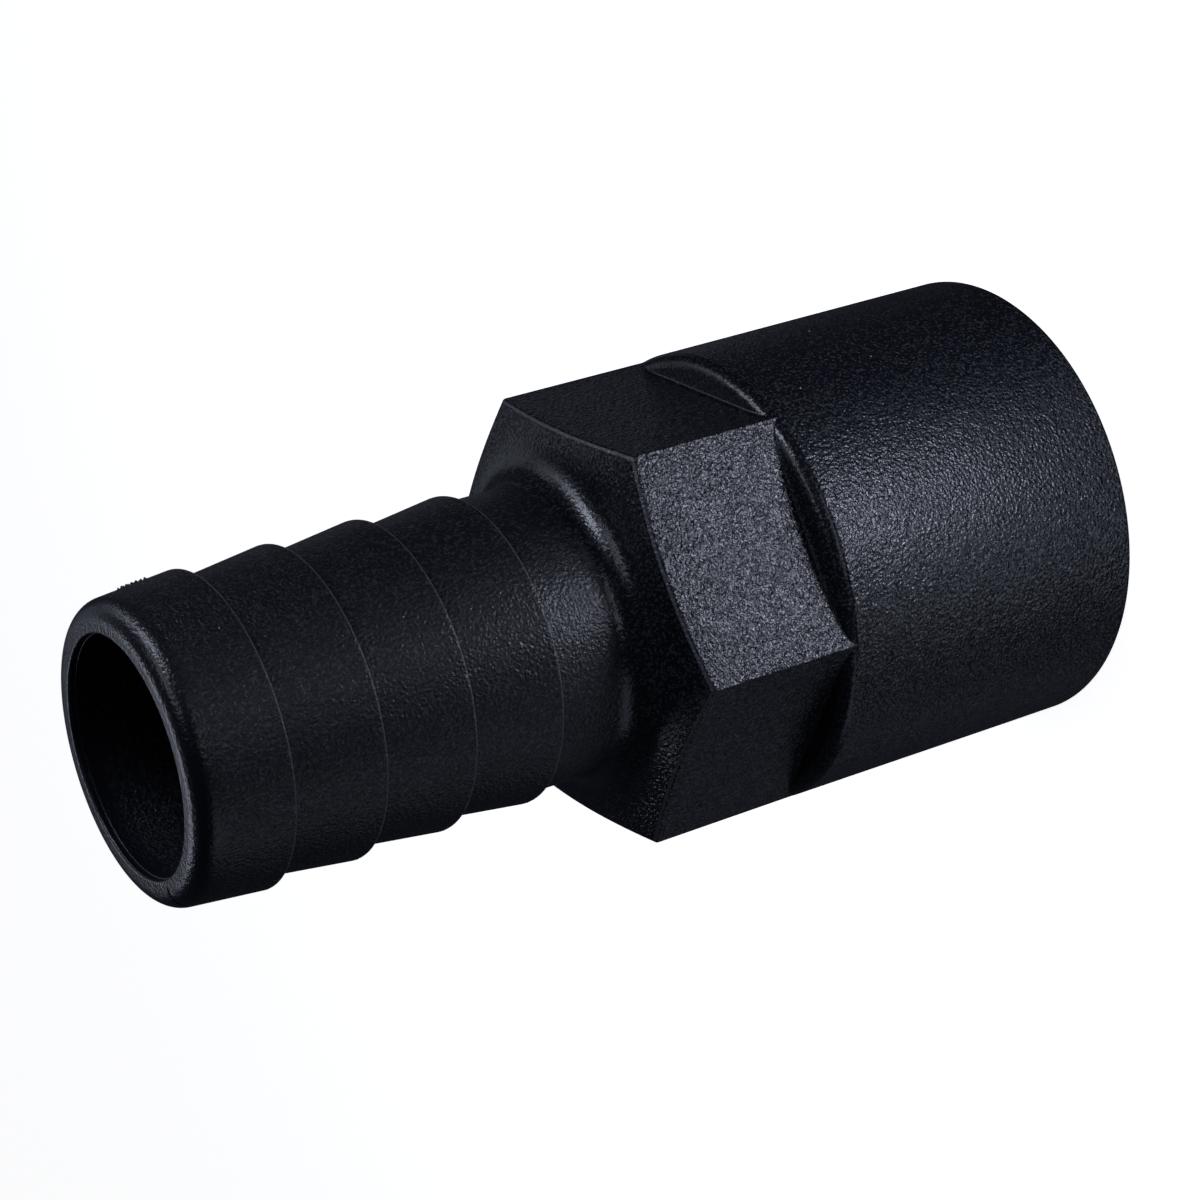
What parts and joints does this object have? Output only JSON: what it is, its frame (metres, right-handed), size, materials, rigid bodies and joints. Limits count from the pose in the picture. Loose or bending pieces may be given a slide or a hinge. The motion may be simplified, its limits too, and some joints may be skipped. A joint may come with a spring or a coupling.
{
  "type": "hose barb adapter",
  "caption": "Black moulded plastic adapter that joins a female pipe thread in a round socket to a barbed tail for a hose, with a spanner hexagon between them.",
  "frame": {"origin": "centre of the socket's open end face, on which the fitting stands", "axes": "+Z along the flow bore from the socket's open end to the mouth of the hose tail; X square to two flats of the hexagon; Y through two of its corners, in the plane where the mould parts"},
  "size_m": [0.0314, 0.0314, 0.0677],
  "materials": {
    "black_plastic": "satin black glass-filled plastic with a fine spark-eroded grain"
  },
  "bodies": {
    "root": {"adapter_body": "black_plastic"}
  },
  "joints": []
}
